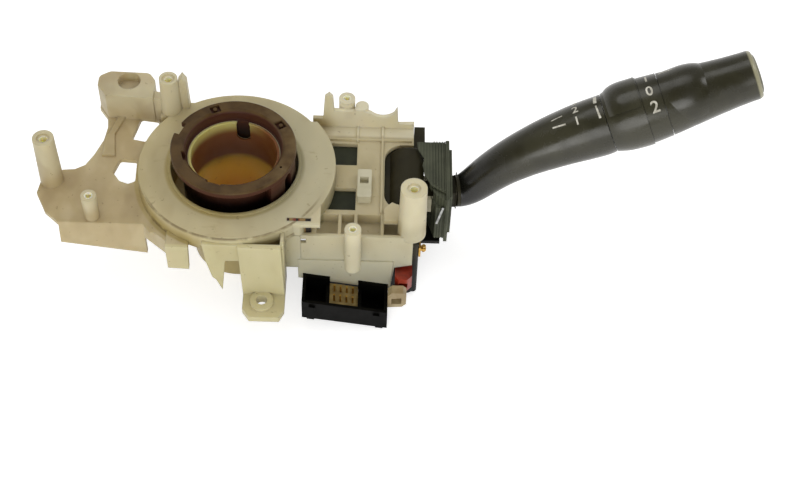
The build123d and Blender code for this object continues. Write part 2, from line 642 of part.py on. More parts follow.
with BuildPart() as stalk_tube:
    for run, z, tilt, radius in stations:
        with BuildSketch(stalk_plane(run, z, tilt)):
            Circle(radius)
    loft()
    for run, z, tilt, radius in stations:
        with BuildSketch(stalk_plane(run, z, tilt)):
            Circle(radius - tube_skin)
    loft(mode=Mode.SUBTRACT)
    with BuildSketch(stalk_plane(0, root_z, 0)):
        Rectangle(40, 40)
    extrude(amount=-6, mode=Mode.SUBTRACT)
    turned((-4, 0), (0, 0), (0, 11.4), (-4, 10.8))
    turned((-16, 0), (0, 0), (0, 6.5), (-16, 6.5))
    turned((-15, 0), (1, 0), (1, spindle_r + seat_gap), (-15, spindle_r + seat_gap), mode=Mode.SUBTRACT)
save(stalk_tube.part, "stalk_tube")

ring_end = 16.0
sleeve_end = 24.0
knob_end = 63.5
knob_start = sleeve_end + 0.3
finger_rise = 1.0
plug_r = 10.9
ring_plug_r = 12.0
spindle_end = 39.5
clip_run = 37.0
pad_top_angle = 40.0
pad_arc = 72.0

with BuildPart() as head_spindle:
    turned((-14.5, 0), (spindle_end, 0), (spindle_end, spindle_r - 0.6), (spindle_end - 0.6, spindle_r),
           (clip_run + 0.9, spindle_r), (clip_run + 0.9, 3.2), (clip_run, 3.2), (clip_run, spindle_r),
           (-14.5, spindle_r))
save(head_spindle.part, "head_spindle")

with BuildPart() as interval_ring:
    with BuildSketch(head_section):
        with BuildLine():
            Spline((0.3, 12.4), (4, 13.4), (9, 14.1), (15.8, 14.3))
            Polyline((15.8, 14.3), (15.8, 12.1), (2.3, 12.1), (2.3, 4.08), (0.3, 4.08), (0.3, 12.4))
        make_face()
    revolve(axis=head_axis)
    # raised thumb pad
    pad_start = head_plane(0, pad_top_angle, 0)
    with BuildSketch(Plane(origin=pad_start.origin, x_dir=knob_way, z_dir=pad_start.y_dir * -1)) as pad:
        with BuildLine():
            Spline((1.6, 12.9), (4, 14.3), (9, 15.0), (15.2, 14.9))
            Polyline((15.2, 14.9), (15.2, 12.3), (1.6, 12.3), (1.6, 12.9))
        make_face()
    revolve(axis=head_axis, revolution_arc=pad_arc)
save(interval_ring.part, "interval_ring")

with BuildPart() as marking_sleeve:
    turned((9.5, 4.03), (29, 4.03), (29, plug_r), (sleeve_end, plug_r), (sleeve_end, 13.4), (ring_end, 13.9),
           (ring_end, ring_plug_r), (9.5, ring_plug_r))
    for ball_run, ball_r in ((13.0, ring_plug_r), (26.5, plug_r)):
        with BuildSketch(head_plane(ball_run, 180, 6.5)):
            Circle(1.3)
        extrude(amount=ball_r - 5.5, mode=Mode.SUBTRACT)
save(marking_sleeve.part, "marking_sleeve")

with BuildPart() as end_knob:
    with BuildSketch(head_section):
        with BuildLine():
            Spline((knob_start, 13.3), (33, 12.4), (43, 11.4), (52, 10.6), (60.6, 10.25))
            Spline((60.6, 10.25), (61.9, 9.9), (62.6, 9.0), tangents=[(1, -0.03), (0.1, -1)])
            Polyline((62.6, 9.0), (knob_start, 9.0), (knob_start, 13.3))
        make_face()
    revolve(axis=head_axis)
    # finger rise: a part-turned form on an axis set above the knob's own
    rise_start = head_plane(0, 95, 0)
    rise_origin = head_plane(0, 0, finger_rise).origin
    with BuildSketch(Plane(origin=rise_origin, x_dir=knob_way, z_dir=rise_start.y_dir * -1)) as rise:
        with BuildLine():
            Spline((knob_start, 12.4), (30, 12.5), (36, 12.5), (39.5, 11.8), (43.5, 9.8))
            Polyline((43.5, 9.8), (43.5, 9.2), (knob_start, 9.2), (knob_start, 12.4))
        make_face()
    revolve(axis=Axis(rise_origin, knob_way), revolution_arc=190)
    # hollow with the web that turns on the spindle
    turned((knob_start, 0), (34, 0), (34, 11.0), (knob_start, 11.0), mode=Mode.SUBTRACT)
    turned((36.5, 0), (36.5, 9.6), (42, 9.0), (61.7, 8.2), (61.7, 9.0), (63, 9.0), (63, 0), mode=Mode.SUBTRACT)
    turned((34, 4.08), (36.5, 4.08), (36.5, 9.8), (34, 9.8))
    turned((33, 0), (37, 0), (37, 4.08), (33, 4.08), mode=Mode.SUBTRACT)
save(end_knob.part, "end_knob")

with BuildPart() as knob_cap:
    with BuildSketch(head_section):
        with BuildLine():
            Spline((62.2, 8.97), (63.2, 7.6), (knob_end, 4.5), (knob_end + 0.2, 0), tangents=[(0.6, -1), (0, -1)])
            Polyline((knob_end + 0.2, 0), (61.0, 0), (61.0, 7.0), (59.0, 7.0), (59.0, 8.1), (61.7, 8.1),
                     (61.7, 8.97), (62.2, 8.97))
        make_face()
    revolve(axis=head_axis)
save(knob_cap.part, "knob_cap")

with BuildPart() as spindle_clip:
    turned((clip_run + 0.05, 3.25), (clip_run + 0.85, 3.25), (clip_run + 0.85, 6.4), (clip_run + 0.05, 6.4))
    with BuildSketch(head_plane(clip_run - 0.5, 90, 3.3)):
        Rectangle(3, 3.2)
    extrude(amount=5, mode=Mode.SUBTRACT)
save(spindle_clip.part, "spindle_clip")

with BuildPart() as contact_discs:
    turned((8.3, 4.03), (9.5, 4.03), (9.5, 11.0), (8.3, 11.0))
    turned((29, 4.03), (30.2, 4.03), (30.2, 10.0), (29, 10.0))
save(contact_discs.part, "contact_discs")

with BuildPart() as ring_wiper:
    turned((2.3, 6.5), (2.9, 6.5), (2.9, 10.5), (2.3, 10.5))
    for side in (0, 180):
        with BuildSketch(head_plane(5.3, side, 7.8)):
            Rectangle(5.9, 2.0)
        extrude(amount=0.6)
save(ring_wiper.part, "ring_wiper")

with BuildPart() as knob_wiper:
    turned((33.4, 6.0), (34, 6.0), (34, 9.5), (33.4, 9.5))
    for side in (0, 180):
        with BuildSketch(head_plane(32.0, side, 7.2)):
            Rectangle(3.4, 2.0)
        extrude(amount=0.6)
save(knob_wiper.part, "knob_wiper")

with BuildPart() as head_detent_balls:
    for ball_run, ball_r in ((13.0, ring_plug_r), (26.5, plug_r)):
        with Locations(head_plane(ball_run, 180, ball_r - 1.25).location):
            Sphere(1.25)
save(head_detent_balls.part, "head_detent_balls")

with BuildPart() as head_detent_springs:
    for ball_run, ball_r in ((13.0, ring_plug_r), (26.5, plug_r)):
        coil(head_plane(ball_run, 180, 6.75), 0.85, 0.3, 0.9, ball_r - 2.5 - 6.95)
save(head_detent_springs.part, "head_detent_springs")


# ---------------------------------------------------------------- washer switch
pad_top = tilt_z - 1.05
with BuildPart() as washer_plunger:
    vertical(plunger_r, -40, -16.6, plunger_x, pivot_y)
    vertical(6.0, pad_top - 1.2, pad_top, plunger_x, pivot_y)
save(washer_plunger.part, "washer_plunger")

with BuildPart() as washer_spring:
    coil(Plane(origin=(plunger_x, pivot_y, floor_top + 0.2)), 2.2, 0.5, 1.6, 5.4)
save(washer_spring.part, "washer_spring")


# ---------------------------------------------------------------- wiper contacts
board_top = board_bottom + board_t
track_t = 0.3
blade_t = 0.4
slider_bottom = board_top + track_t + blade_t + 0.1
with BuildPart() as contact_board:
    block(47, 73, board_y0, board_y1, board_bottom, board_top)
    for post_x, post_y in board_posts:
        vertical(peg_r + seat_gap, board_bottom - 1, board_top + 1, post_x, post_y, mode=Mode.SUBTRACT)
save(contact_board.part, "contact_board")

with BuildPart() as contact_tracks:
    for track_y in (12.6, 15.0, 17.4):
        block(51.6, 67.4, track_y - 0.6, track_y + 0.6, board_top, board_top + track_t)
save(contact_tracks.part, "contact_tracks")

with BuildPart() as wiper_slider:
    block(finger_x - 5, finger_x + 5, board_y0 - 0.1, board_y1 + 0.1, slider_bottom, -28.8)
    block(finger_x - finger_r - 0.35, finger_x + finger_r + 0.35, 10.8, 18.4, slider_bottom + 0.4, -28.8,
          mode=Mode.SUBTRACT)
save(wiper_slider.part, "wiper_slider")

with BuildPart() as slider_contacts:
    for track_y in (12.6, 15.0, 17.4):
        block(finger_x - 4, finger_x + 4, track_y - 0.4, track_y + 0.4, slider_bottom - blade_t, slider_bottom)
save(slider_contacts.part, "slider_contacts")


# ---------------------------------------------------------------- connector
plug_back = tray_y0 - 0.7
cell_x1 = 39.5
cell_x2 = 53.0


def slanted(x0, x1, y0, y1, top, low, mode=Mode.ADD):
    """A box between two heights that drop from left to right like the wall's lower edge."""
    slope = -6.9 / 39.0
    upright([(x0, top + slope * (x0 - plug_x0)), (x1, top + slope * (x1 - plug_x0)),
             (x1, low + slope * (x1 - plug_x0)), (x0, low + slope * (x0 - plug_x0))], y0, y1, mode=mode)


with BuildPart() as connector_shroud:
    slanted(plug_x0, plug_x1, plug_y0, plug_back, -32.4, -43.2)
    slanted(plug_x0 + plug_wall, cell_x1, plug_y0 + plug_wall, plug_back - plug_wall, -30, -41.8,
            mode=Mode.SUBTRACT)
    slanted(cell_x1 + plug_wall, cell_x2, plug_y0 + plug_wall, plug_back, -30, -41.8, mode=Mode.SUBTRACT)
    slanted(cell_x2 + plug_wall, plug_x1 - plug_wall, plug_y0 + plug_wall, plug_back - plug_wall, -30, -41.8,
            mode=Mode.SUBTRACT)
    slanted(plug_x0 + plug_wall, plug_x1 - plug_wall, plug_y0 + plug_wall, plug_back - plug_wall, -30, -36.0,
            mode=Mode.SUBTRACT)
    # latch tabs, corner studs and feet
    for tab_x in (plug_x0 + 3, plug_x1 - 6):
        slanted(tab_x, tab_x + 2.6, plug_y0 - 1.0, plug_y0, -34.2, -36.6)
    for foot_x in (plug_x0 + 2, plug_x1 - 5):
        slanted(foot_x, foot_x + 3.2, plug_y0, plug_y0 + 3, -43.2, -43.9)
save(connector_shroud.part, "connector_shroud")

with BuildPart() as pin_holder:
    slanted(cell_x1 + plug_wall + 0.05, cell_x2 - 0.05, plug_y0 + 3.6, plug_back, -37.0, -41.8)
    for row_y in (-40.5, -35.5):
        with BuildSketch(Plane.XY.offset(-48)):
            with Locations(*[(43.0 + 2.6 * n, row_y) for n in range(4)]):
                Rectangle(0.84, 0.84)
        extrude(amount=14, mode=Mode.SUBTRACT)
save(pin_holder.part, "pin_holder")

with BuildPart() as connector_pins:
    for row_y in (-40.5, -35.5):
        for n in range(4):
            block(42.6 + 2.6 * n, 43.4 + 2.6 * n, row_y - 0.4, row_y + 0.4, -43.8 - 0.46 * n, -35.5 - 0.46 * n)
save(connector_pins.part, "connector_pins")

with BuildPart() as terminal_lock:
    upright([(plug_x1, -34), (67.4, -32), (72, -32), (73.4, -33.6), (73.4, -39.4), (71.6, -41.4), (plug_x1, -42)],
            -41.6, -37.4)
    upright([(plug_x1 + 1.6, -36), (plug_x1 + 1.6, -39.8), (71.4, -39.4), (71.4, -35.4)], -43, -38.6,
            mode=Mode.SUBTRACT)
save(terminal_lock.part, "terminal_lock")

with BuildPart() as harness_clip:
    outline([(68.4, -module_y), (75.6, -module_y), (75.6, -34.5), (73.6, -36.8), (70, -36.8), (68.4, -35)],
            -36.5, -28.8)
    block(70.2, 73.8, -38, -30.5, -34.0, -31.4, mode=Mode.SUBTRACT)
save(harness_clip.part, "harness_clip")


# ---------------------------------------------------------------- small pieces on the tray
with BuildPart() as module_clip:
    block(51.6, 57.5, -12.8, 2.5, plate_top, plate_top + 4.0)
    fillet(edges().filter_by(Axis.Z), 0.8)
    block(52.6, 56.2, -5.4, -1.7, plate_top + 1.0, plate_top + 5, mode=Mode.SUBTRACT)
save(module_clip.part, "module_clip")

with BuildPart() as link_strip:
    block(23.4, 33.1, -29.2, -27.6, strip_low, disc_top - 0.4)
save(link_strip.part, "link_strip")

with BuildPart() as ground_terminal:
    block(module_x1, module_x1 + 0.8, -28.0, -24.6, -24, -18)
    block(module_x1 + 0.8, module_x1 + 3.0, -27.6, -25.4, -20.4, -19.4)
    vertical(0.8, -21.6, -18.2, module_x1 + 2.0, -26.5)
save(ground_terminal.part, "ground_terminal")
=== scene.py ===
import bmesh
import bpy
import math
from mathutils import Matrix, Vector
from mathutils.bvhtree import BVHTree


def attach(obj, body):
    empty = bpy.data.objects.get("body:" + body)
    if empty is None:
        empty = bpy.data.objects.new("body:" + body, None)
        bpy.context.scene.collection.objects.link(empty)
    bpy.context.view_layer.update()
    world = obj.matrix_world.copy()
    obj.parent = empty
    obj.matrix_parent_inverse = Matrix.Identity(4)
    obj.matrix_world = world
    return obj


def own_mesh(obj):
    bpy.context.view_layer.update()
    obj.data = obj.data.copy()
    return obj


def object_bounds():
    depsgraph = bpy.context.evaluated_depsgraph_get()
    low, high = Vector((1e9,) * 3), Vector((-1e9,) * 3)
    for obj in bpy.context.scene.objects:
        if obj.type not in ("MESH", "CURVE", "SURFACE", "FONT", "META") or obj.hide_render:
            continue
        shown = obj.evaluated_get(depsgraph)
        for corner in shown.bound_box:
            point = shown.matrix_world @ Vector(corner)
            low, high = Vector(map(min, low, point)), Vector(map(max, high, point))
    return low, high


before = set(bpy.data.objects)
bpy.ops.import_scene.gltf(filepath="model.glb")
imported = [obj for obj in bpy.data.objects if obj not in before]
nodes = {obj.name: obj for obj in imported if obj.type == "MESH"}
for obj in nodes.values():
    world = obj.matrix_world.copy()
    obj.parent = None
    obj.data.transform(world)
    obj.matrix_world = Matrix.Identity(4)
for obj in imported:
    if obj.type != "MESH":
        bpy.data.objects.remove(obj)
cad_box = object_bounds()
MM = 0.001

# the axis of the stalk's head: where it starts, the way it runs and two directions across it
HEAD = Vector((154.3141, 8.9782, 21.8)) * MM
ALONG = Vector((0.921363, 0.129489, 0.366501))
SIDE = Vector((-0.139173, 0.990268, 0.0))
UPPER = ALONG.cross(SIDE)


# ---------------------------------------------------------------- camera
CAMERA_PLACE = Vector((57.493, -414.969, 473.641)) * MM
CAMERA_YAW = math.radians(1.5)
CAMERA_DOWN = math.radians(51.89)
CAMERA_ROLL = math.radians(2.75)
FOCAL_PX = 1499.6
IMAGE_W = 788
SENSOR_MM = 36.0
CLIP_START = 0.01


def add_camera():
    """The photo's camera, as it was solved from the round edges of the tube, the cam and the disc."""
    forward = Vector((math.sin(CAMERA_YAW) * math.cos(CAMERA_DOWN),
                      math.cos(CAMERA_YAW) * math.cos(CAMERA_DOWN), -math.sin(CAMERA_DOWN)))
    level = Vector((math.cos(CAMERA_YAW), -math.sin(CAMERA_YAW), 0))
    upward = level.cross(forward)
    right = level * math.cos(CAMERA_ROLL) + upward * math.sin(CAMERA_ROLL)
    up = upward * math.cos(CAMERA_ROLL) - level * math.sin(CAMERA_ROLL)
    data = bpy.data.cameras.new("camera")
    data.sensor_width = SENSOR_MM
    data.lens = FOCAL_PX * SENSOR_MM / IMAGE_W
    data.clip_start = CLIP_START
    camera = bpy.data.objects.new("camera", data)
    turn = Matrix((right, up, -forward)).transposed().to_4x4()
    camera.matrix_world = Matrix.Translation(CAMERA_PLACE) @ turn
    bpy.context.collection.objects.link(camera)
    bpy.context.scene.camera = camera


add_camera()


# ---------------------------------------------------------------- node helpers
def feed(tree, value, socket):
    """Links a node's output to a socket, or sets the socket to a number, a colour or a direction."""
    if isinstance(value, bpy.types.NodeSocket):
        tree.links.new(value, socket)
    else:
        socket.default_value = value


def ramp(tree, value, low, high, out_low, out_high):
    """Carries a value softly from low..high over to out_low..out_high, and level beyond both ends."""
    made = tree.nodes.new("ShaderNodeMapRange")
    made.interpolation_type = "SMOOTHSTEP"
    for name, number in (("Value", value), ("From Min", low), ("From Max", high),
                         ("To Min", out_low), ("To Max", out_high)):
        feed(tree, number, made.inputs[name])
    return made.outputs["Result"]


def seen_or_reflected(tree):
    """One where a ray comes from the camera, from a gloss or through glass; nought for plain light."""
    rays = tree.nodes.new("ShaderNodeLightPath")
    found = rays.outputs["Is Camera Ray"]
    for name in ("Is Glossy Ray", "Is Transmission Ray"):
        either = tree.nodes.new("ShaderNodeMath")
        either.operation = "MAXIMUM"
        feed(tree, found, either.inputs[0])
        feed(tree, rays.outputs[name], either.inputs[1])
        found = either.outputs[0]
    return found


# ---------------------------------------------------------------- light
SKY = 0.50
SKY_TONE = (1.0, 0.985, 0.96, 1)
# the backdrop that the camera and the glosses see: white up to the first height of RISE, and from the
# second on a ceiling that is darkest at the front; heights and depths are parts of a direction
BACKDROP_TONE = (1, 1, 1, 1)
RISE = (0.12, 0.5)
FRONT_TO_BACK = (-0.35, 0.55)
CEILING = (0.024, 0.34)
LAMPS = [
    # place and aim in metres, width in metres, power in watts
    ((-0.20, 0.30, 0.95), (0.03, 0, 0), 0.60, 1.6),
    ((0.55, 0.10, 0.60), (0.10, 0, 0), 0.30, 0.8),
    ((0.00, -0.85, 0.30), (0.03, 0, 0), 0.60, 3.2),
]


def add_lamp(index, place, aim, width, power):
    data = bpy.data.lights.new("softbox_%d" % index, "AREA")
    data.shape = "DISK"
    data.size = width
    data.energy = power
    lamp = bpy.data.objects.new("softbox_%d" % index, data)
    way = (Vector(aim) - Vector(place)).to_track_quat("-Z", "Y")
    lamp.matrix_world = Matrix.Translation(place) @ way.to_matrix().to_4x4()
    bpy.context.collection.objects.link(lamp)


def set_world():
    """An even sky for plain light, and the backdrop for what is seen or reflected."""
    world = bpy.data.worlds.new("studio")
    bpy.context.scene.world = world
    world.use_nodes = True
    tree = world.node_tree
    tree.nodes.clear()
    place = tree.nodes.new("ShaderNodeTexCoord")
    split = tree.nodes.new("ShaderNodeSeparateXYZ")
    feed(tree, place.outputs["Generated"], split.inputs[0])
    ceiling = ramp(tree, split.outputs["Y"], *FRONT_TO_BACK, *CEILING)
    backdrop = ramp(tree, split.outputs["Z"], *RISE, 1.0, ceiling)
    mix = tree.nodes.new("ShaderNodeMixShader")
    feed(tree, seen_or_reflected(tree), mix.inputs[0])
    for index, tone, strength in ((1, SKY_TONE, SKY), (2, BACKDROP_TONE, backdrop)):
        made = tree.nodes.new("ShaderNodeBackground")
        feed(tree, tone, made.inputs["Color"])
        feed(tree, strength, made.inputs["Strength"])
        feed(tree, made.outputs[0], mix.inputs[index])
    out = tree.nodes.new("ShaderNodeOutputWorld")
    feed(tree, mix.outputs[0], out.inputs[0])


for index, lamp in enumerate(LAMPS):
    add_lamp(index, *lamp)
set_world()
bpy.context.scene.view_settings.view_transform = "Standard"


# ---------------------------------------------------------------- materials
def srgb(r, g, b):
    """A colour from 0-255 display values."""
    def linear(v):
        v /= 255
        return v / 12.92 if v <= 0.04045 else ((v + 0.055) / 1.055) ** 2.4
    return (linear(r), linear(g), linear(b), 1.0)


class Finish:
    """A procedural material that is built up node by node. The lengths it is given are in millimetres."""

    # a Mix node keeps its colour sockets after those for numbers and directions
    MIX_FACTOR, MIX_A, MIX_B, MIXED = 0, 6, 7, 2
    BEVEL_SAMPLES = 4

    def __init__(self, name, roughness, specular, metallic=0.0):
        self.mat = bpy.data.materials.new(name)
        self.mat.use_nodes = True
        self.tree = self.mat.node_tree
        self.shader = self.tree.nodes["Principled BSDF"]
        self.set("Roughness", roughness)
        self.set("Specular IOR Level", specular)
        self.set("Metallic", metallic)
        self.place = self.tree.nodes.new("ShaderNodeTexCoord").outputs["Object"]

    def set(self, name, value):
        feed(self.tree, value, self.shader.inputs[name])

    def node(self, kind, **settings):
        made = self.tree.nodes.new(kind)
        for key, value in settings.items():
            setattr(made, key, value)
        return made

    def axes(self):
        """The three parts of a place, in metres."""
        made = self.node("ShaderNodeSeparateXYZ")
        feed(self.tree, self.place, made.inputs[0])
        return made.outputs

    def calc(self, operation, a, b=0.0):
        made = self.node("ShaderNodeMath", operation=operation)
        feed(self.tree, a, made.inputs[0])
        feed(self.tree, b, made.inputs[1])
        return made.outputs[0]

    def add(self, a, b):
        return self.calc("ADD", a, b)

    def both(self, a, b):
        return self.calc("MULTIPLY", a, b)

    def larger(self, a, b):
        return self.calc("MAXIMUM", a, b)

    def reach(self, x, y, middle=(0, 0)):
        """How far a place is from an upright axis, in metres."""
        across = self.calc("SUBTRACT", x, middle[0] * MM)
        deep = self.calc("SUBTRACT", y, middle[1] * MM)
        return self.calc("SQRT", self.add(self.both(across, across), self.both(deep, deep)))

    def noise(self, scale, detail=3.0, roughness=0.55, stretch=None):
        place = self.place
        if stretch:
            mapping = self.node("ShaderNodeMapping")
            feed(self.tree, stretch, mapping.inputs["Scale"])
            feed(self.tree, place, mapping.inputs["Vector"])
            place = mapping.outputs[0]
        made = self.node("ShaderNodeTexNoise")
        for name, value in (("Scale", scale), ("Detail", detail), ("Roughness", roughness),
                            ("Vector", place)):
            feed(self.tree, value, made.inputs[name])
        return made.outputs["Fac"]

    def span(self, value, low, high, out_low=0.0, out_high=1.0):
        return ramp(self.tree, value, low, high, out_low, out_high)

    def cloud(self, scale, detail=3.0, low=0.35, high=0.65):
        """Soft clouds between nought and one."""
        return self.span(self.noise(scale, detail), low, high)

    def edge(self, value, none, full):
        """A soft mask along a value in metres: nought at one length, one at another."""
        return self.span(value, none * MM, full * MM)

    def band(self, value, low, high, soft):
        """A soft mask that is one between two lengths and nought a little beyond them."""
        return self.both(self.edge(value, low - soft, low), self.edge(value, high + soft, high))

    def mix(self, factor, a, b):
        made = self.node("ShaderNodeMix", data_type="RGBA")
        for index, value in ((self.MIX_FACTOR, factor), (self.MIX_A, a), (self.MIX_B, b)):
            feed(self.tree, value, made.inputs[index])
        return made.outputs[self.MIXED]

    def lay(self, under, tone, mask, strength):
        """Lays a tone over what is under it, inside a mask and up to a strength."""
        return self.mix(self.both(mask, strength), under, tone)

    def colour(self, value):
        self.set("Base Color", value)

    def polish(self, scale, low, high):
        """A roughness that changes softly from place to place."""
        self.set("Roughness", self.span(self.noise(scale), 0.3, 0.7, low, high))

    def bump(self, height, depth, strength, edge=0.0):
        """Grain on the surface, over edges that are rounded by a small radius."""
        made = self.node("ShaderNodeBump")
        if edge:
            rounded = self.node("ShaderNodeBevel", samples=self.BEVEL_SAMPLES)
            feed(self.tree, edge * MM, rounded.inputs["Radius"])
            feed(self.tree, rounded.outputs[0], made.inputs["Normal"])
        feed(self.tree, strength, made.inputs["Strength"])
        feed(self.tree, depth * MM, made.inputs["Distance"])
        feed(self.tree, height, made.inputs["Height"])
        self.set("Normal", made.outputs[0])


def plastic(name, light, dark, rough, scale, specular=0.5):
    """Moulded plastic: two tones in soft clouds, a fine grain and uneven polish."""
    made = Finish(name, roughness=rough, specular=specular)
    made.colour(made.mix(made.cloud(scale), srgb(*dark), srgb(*light)))
    made.polish(scale * 3, low=rough - 0.07, high=rough + 0.08)
    made.bump(made.noise(900, detail=2.0), depth=0.03, strength=0.35)
    return made.mat


def metal(name, light, dark, rough):
    made = Finish(name, roughness=rough, specular=0.5, metallic=1.0)
    made.colour(made.mix(made.cloud(400, low=0.3, high=0.7), srgb(*dark), srgb(*light)))
    made.polish(900, low=rough - 0.08, high=rough + 0.1)
    return made.mat


# the middles of the bracket's screw posts, seen from above, and the soft edges of their holes and of the bore
POSTS = [(-76.6, -4.8), (74.6, -26.1), (-29.5, 31.0), (-57.3, -23.7), (50.5, -37.5), (46.0, 34.9)]
POST_HOLE = (1.78, 1.68)
TUBE_BORE = (19.2, 18.8)


def bracket_tones_and_painted_light(made, x, y, z, radius):
    """The nylon's tones: soft clouds, zones for forms that aged or light up differently, and patches. The
    paler zones on all that stands tall, on the low part of the left bay and on the tray's back wall are
    painted light.
    """
    def zone(first, second):
        return made.both(made.edge(*first), made.edge(*second))

    cloud = made.cloud(45, detail=4.0, low=0.3, high=0.7)
    left = made.edge(x, -12, -50)
    zones = [
        # the left bay
        (left, 0.9, made.mix(cloud, srgb(174, 156, 116), srgb(188, 171, 132))),
        # the disc, yellower at the left
        (zone((radius, 43, 42), (radius, 19, 19.6)), 0.8,
         made.mix(made.edge(x, -10, 30), srgb(170, 152, 92), srgb(152, 145, 110))),
        # the walls at the tray's front
        (zone((y, -29.5, -30.5), (x, 18, 30)), 0.85,
         made.mix(made.edge(z, -30, -12), srgb(186, 184, 162), srgb(200, 193, 163))),
        # the hanging ear
        (zone((y, -38.5, -39.5), (x, 28, 22)), 0.8, srgb(204, 196, 152)),
        # all that stands tall outside the well, painted paler: painted light through the thin walls
        (zone((z, -6, 4), (radius, 28.5, 30)), 0.9, made.mix(left, srgb(220, 211, 178), srgb(200, 190, 156))),
        # the head block
        (zone((y, 36, 42), (x, -12, -20)), 0.85, srgb(192, 177, 142)),
        # the low part of the left bay, painted paler: painted light that lifts the shade there
        (zone((z, -7, -10), (x, -12, -30)), 0.4, srgb(204, 187, 147)),
        # the tray's back wall, painted pale: painted light, as lit from behind through the nylon
        (zone((y, 23.5, 25.5), (x, 36, 42)), 0.8, srgb(226, 218, 190)),
    ]
    base = made.mix(cloud, srgb(182, 169, 131), srgb(196, 184, 150))
    for mask, strength, tone in zones:
        base = made.lay(base, tone, mask, strength)
    # thick and thin places in the moulding: paler and browner patches, most of all at the left
    patch = made.noise(62, detail=1.5, roughness=0.5, stretch=(1.6, 0.8, 1))
    strength = made.add(0.12, made.both(left, 0.20))
    base = made.lay(base, srgb(218, 206, 170), made.span(patch, 0.50, 0.68), strength)
    return made.lay(base, srgb(152, 130, 94), made.span(patch, 0.50, 0.32), strength)


def bore_painted_light(made, x, y, z):
    """Painted light and shade in the bore: an amber painted glow down the bore, a brown painted shade where
    the cam stands behind the wall, and a pale painted highlight on the rim at the back left.
    """
    # painted glow, as of light through the tube's wall, paler higher up
    amber = made.mix(made.edge(z, -42, -22), srgb(206, 164, 70), srgb(236, 200, 96))
    # brown painted shade where the cam stands behind the wall
    bore = made.mix(made.edge(z, -16.5, -12.5), amber, srgb(128, 80, 44))
    back_left = made.add(x, made.both(y, -0.7))
    # a pale painted highlight on the far rim at the back left
    rim = made.both(made.edge(z, -1, 4.5), made.edge(back_left, 6, -16))
    return made.mix(rim, bore, srgb(206, 192, 116))


def add_dirt(made, base, y, z, radius):
    """Specks all over, smears near the cam, and broken lines along the disc's front edge."""
    specks = made.cloud(420, detail=2.0, low=0.69, high=0.74)
    base = made.lay(base, srgb(112, 92, 60), specks, 0.35)
    streaks = made.span(made.noise(70, detail=5.0, roughness=0.7, stretch=(1, 2.5, 1)), 0.58, 0.75)
    base = made.lay(base, srgb(132, 112, 72), made.both(streaks, made.edge(radius, 50, 30)), 0.35)
    ridge = made.both(made.band(radius, 39.6, 40.2, 0.4), made.edge(z, -2.2, -0.8))
    foot = made.both(made.band(radius, 39.8, 40.6, 0.4), made.band(z, -8.2, -6.6, 0.8))
    lines = made.both(made.larger(ridge, foot), made.edge(y, -12, -28))
    broken = made.both(lines, made.cloud(160, low=0.28, high=0.52))
    return made.lay(base, srgb(112, 94, 60), broken, 0.7)


def nylon():
    """Aged translucent nylon. The screw holes are painted pale, to look lit through the posts' walls, and the
    bore is painted with light and shade.
    """
    made = Finish("aged_nylon", roughness=0.45, specular=0.3)
    x, y, z = made.axes()
    radius = made.reach(x, y)
    bore = made.edge(radius, *TUBE_BORE)
    hole = 0.0
    for middle in POSTS:
        hole = made.larger(made.edge(made.reach(x, y, middle), *POST_HOLE), hole)
    base = made.mix(bore, bracket_tones_and_painted_light(made, x, y, z, radius), bore_painted_light(made, x, y, z))
    base = add_dirt(made, base, y, z, radius)
    made.colour(made.mix(hole, base, srgb(250, 240, 208)))
    made.polish(160, low=0.38, high=0.55)
    made.bump(made.noise(500), depth=0.03, strength=0.25, edge=0.7)
    glow = made.larger(made.both(bore, 0.45), made.both(hole, 0.7))
    made.set("Subsurface Weight", made.add(0.3, glow))
    made.set("Subsurface Radius", (1.0, 0.85, 0.5))
    made.set("Subsurface Scale", 6 * MM)
    return made.mat


def cam_plastic():
    """Dark brown acetal: dusty on the face, reddish below it, and painted shade that darkens the side to near
    black at the foot.
    """
    made = Finish("cam_brown", roughness=0.38, specular=0.22)
    x, _, z = made.axes()
    # painted shade: the side goes near black towards the foot
    side = made.mix(made.edge(z, -2, 8), srgb(14, 5, 4), srgb(74, 42, 30))
    face = made.mix(made.cloud(90, detail=4.0, low=0.3, high=0.7), srgb(66, 47, 24), srgb(92, 70, 38))
    dusty = made.both(made.edge(x, 2, 22), made.cloud(130, detail=4.0))
    face = made.mix(dusty, face, srgb(106, 86, 54))
    made.colour(made.mix(made.edge(z, 9.8, 10.6), side, face))
    made.polish(240, low=0.30, high=0.5)
    made.bump(made.noise(700), depth=0.04, strength=0.3, edge=0.5)
    return made.mat


def switch_plastic():
    """Dark grey-green plastic, browner on the drum and nearly black low down."""
    made = Finish("switch_grey", roughness=0.5, specular=0.2)
    x, _, z = made.axes()
    cloud = made.cloud(70)
    drum = made.mix(cloud, srgb(34, 31, 18), srgb(46, 42, 24))
    base = made.mix(made.edge(x, 60, 64), made.mix(cloud, srgb(46, 49, 36), srgb(58, 61, 44)), drum)
    made.colour(made.mix(made.edge(z, -20, -28), base, srgb(20, 19, 15)))
    made.polish(210, low=0.40, high=0.55)
    made.bump(made.noise(900, detail=2.0), depth=0.03, strength=0.3, edge=0.4)
    return made.mat


# the grooves of the shield, in radians a metre: one in each 1.26 mm along X
GROOVES = 5000


def grooved_plastic():
    """Grey-green plastic with fine moulded grooves across it, and painted shade along them."""
    made = Finish("shield_grey", roughness=0.5, specular=0.25)
    groove = made.calc("SINE", made.both(made.axes()[0], GROOVES))
    base = made.mix(made.cloud(80), srgb(68, 71, 56), srgb(86, 89, 71))
    # darker stripes that follow the grooves: painted shade of the grooves
    made.colour(made.mix(made.span(groove, 0.3, 1.0, 0.0, 0.35), base, srgb(30, 30, 22)))
    made.polish(240, low=0.43, high=0.58)
    made.bump(groove, depth=0.12, strength=0.5, edge=0.3)
    return made.mat


